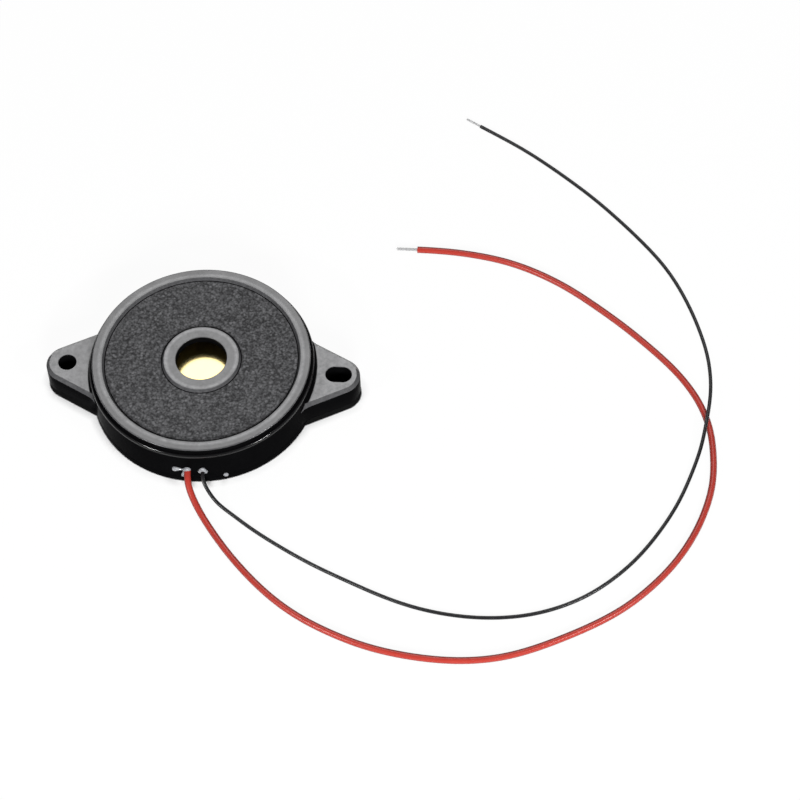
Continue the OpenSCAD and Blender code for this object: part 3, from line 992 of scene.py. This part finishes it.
studioValues = {
    "floorSize": 3.0,
    "floorColour": (0.88, 0.88, 0.88),
    "floorBounce": 0.4,  # the share of that colour with which the floor lights the body from below
    "floorWhite": 0.95,  # the share of plain white that the camera sees on the open floor
    "contactStart": 0.1,  # mm outside the body where that share begins
    "contactEnd": 1.2,
    "contactDark": 0.14,  # mm outside the body over which a painted contact shadow darkens the floor's own colour
    "contactColour": (0.01, 0.01, 0.01),
    "skyStrength": 0.06,
    "skyReflected": 0.2,
}
lampValues = {  # azimuth from straight in front, elevation, distance, width, height, radiance,
    # and whether it shows in reflections
    "softbox": (186, 56, 0.6, 0.31, 0.31, 2.6, True),
    "right": (55, 34, 0.6, 0.13, 0.03, 105, True),
    "left": (-42, 32, 0.6, 0.12, 0.03, 105, True),
    "front": (14, 28, 0.6, 0.16, 0.16, 53, False),
}


def outsideBody(n):
    # the distance in mm outside the body's outline: the lesser of the distance from the round
    # wall and that from an ear, whose straight side counts up to where its round tip begins
    taper, tip = radians(housingValues["earTaper"]), housingValues["earTip"]
    x, y = (n.math("DIVIDE", n.math("ABSOLUTE", value), mm)
            for value in n.acrossAndAlong(n.add("ShaderNodeTexCoord").outputs["Object"]))
    wall = n.math("SUBTRACT", n.length(x, y), bodyRadius)
    past = n.math("SUBTRACT", x, holeX)
    across = n.math("ADD", n.math("MULTIPLY", past, sin(taper)), n.math("MULTIPLY", y, cos(taper)))
    side = n.math("SUBTRACT", across, tip)
    rounded = n.math("SUBTRACT", n.length(past, y), tip)
    atTip = n.math("GREATER_THAN", n.math("MULTIPLY", past, cos(taper)),
                   n.math("MULTIPLY", y, sin(taper)))
    ear = n.math("ADD", side, n.math("MULTIPLY", atTip, n.math("SUBTRACT", rounded, side)))
    return n.math("MINIMUM", wall, ear)


def makeFloor(v):
    # its own pale colour, with a painted contact shadow that darkens it at and just round the
    # body's foot;
    # to the camera, plain white takes over as the distance from the body grows, so that the contact
    # shadow stays
    half = v["floorSize"] / 2
    floor = makePiece("floor", [(-half, -half, 0), (half, -half, 0), (half, half, 0),
                                (-half, half, 0)], [(0, 1, 2, 3)])
    material = bpy.data.materials.new("pale_floor")
    material.use_nodes = True
    material.node_tree.nodes.clear()
    n = Nodes(material.node_tree)
    path, outside = n.add("ShaderNodeLightPath").outputs, outsideBody(n)
    whiteShare = n.spread(outside, v["contactStart"], v["contactEnd"], 0, v["floorWhite"])
    # a painted contact shadow: the floor's colour is near black at the body's foot and pale a
    # little way out
    own = n.blend(n.spread(outside, 0, v["contactDark"], 0, 1), v["contactColour"],
                  v["floorColour"])
    bounced = n.blend(path["Is Diffuse Ray"], own, [v["floorBounce"] * c for c in v["floorColour"]])
    lit = n.add("ShaderNodeBsdfDiffuse", {"Color": bounced})
    white = n.add("ShaderNodeEmission")
    seen = n.add("ShaderNodeMixShader", {
        "Fac": n.math("MULTIPLY", path["Is Camera Ray"], whiteShare), 1: lit.outputs[0],
        2: white.outputs[0]})
    n.add("ShaderNodeOutputMaterial", {"Surface": seen.outputs[0]})
    floor.data.materials.append(material)


def makeSky(v):
    # white to the camera and through glass, softer in reflections and as a light
    world = bpy.data.worlds.new("sky")
    world.use_nodes = True
    n = Nodes(world.node_tree)
    path = n.add("ShaderNodeLightPath").outputs
    level = v["skyStrength"]
    for ray, strength in (("Is Glossy Ray", v["skyReflected"]), ("Is Transmission Ray", 1),
                          ("Is Camera Ray", 1)):
        made = n.add("ShaderNodeMix", {"Factor": path[ray], "A": level, "B": strength})
        level = made.outputs["Result"]
    sky = n.tree.nodes["Background"].inputs
    n.join(level, sky["Strength"])
    n.join((1, 1, 1, 1), sky["Color"])
    bpy.context.scene.world = world


def makeLamp(name, azimuth, elevation, distance, width, height, radiance, mirrored):
    # a flat lamp of that radiance, aimed at the body; its power is pi times radiance times area;
    # one that isn't mirrored lights and casts shadows, but leaves no highlight
    a, e = radians(azimuth), radians(elevation)
    way = Vector((sin(a) * cos(e), -cos(a) * cos(e), sin(e)))
    data = bpy.data.lights.new(name, "AREA")
    data.shape, data.size, data.size_y = "RECTANGLE", width, height
    data.energy = pi * radiance * width * height
    lamp = bpy.data.objects.new(name, data)
    bpy.context.scene.collection.objects.link(lamp)
    lamp.location = way * distance
    lamp.rotation_mode = "QUATERNION"
    lamp.rotation_quaternion = way.to_track_quat("Z", "Y")
    lamp.visible_glossy = mirrored


makeFloor(studioValues)
makeSky(studioValues)
for name, values in lampValues.items():
    makeLamp(name, *values)
bpy.context.scene.view_settings.view_transform = "Standard"
print("studio lit")
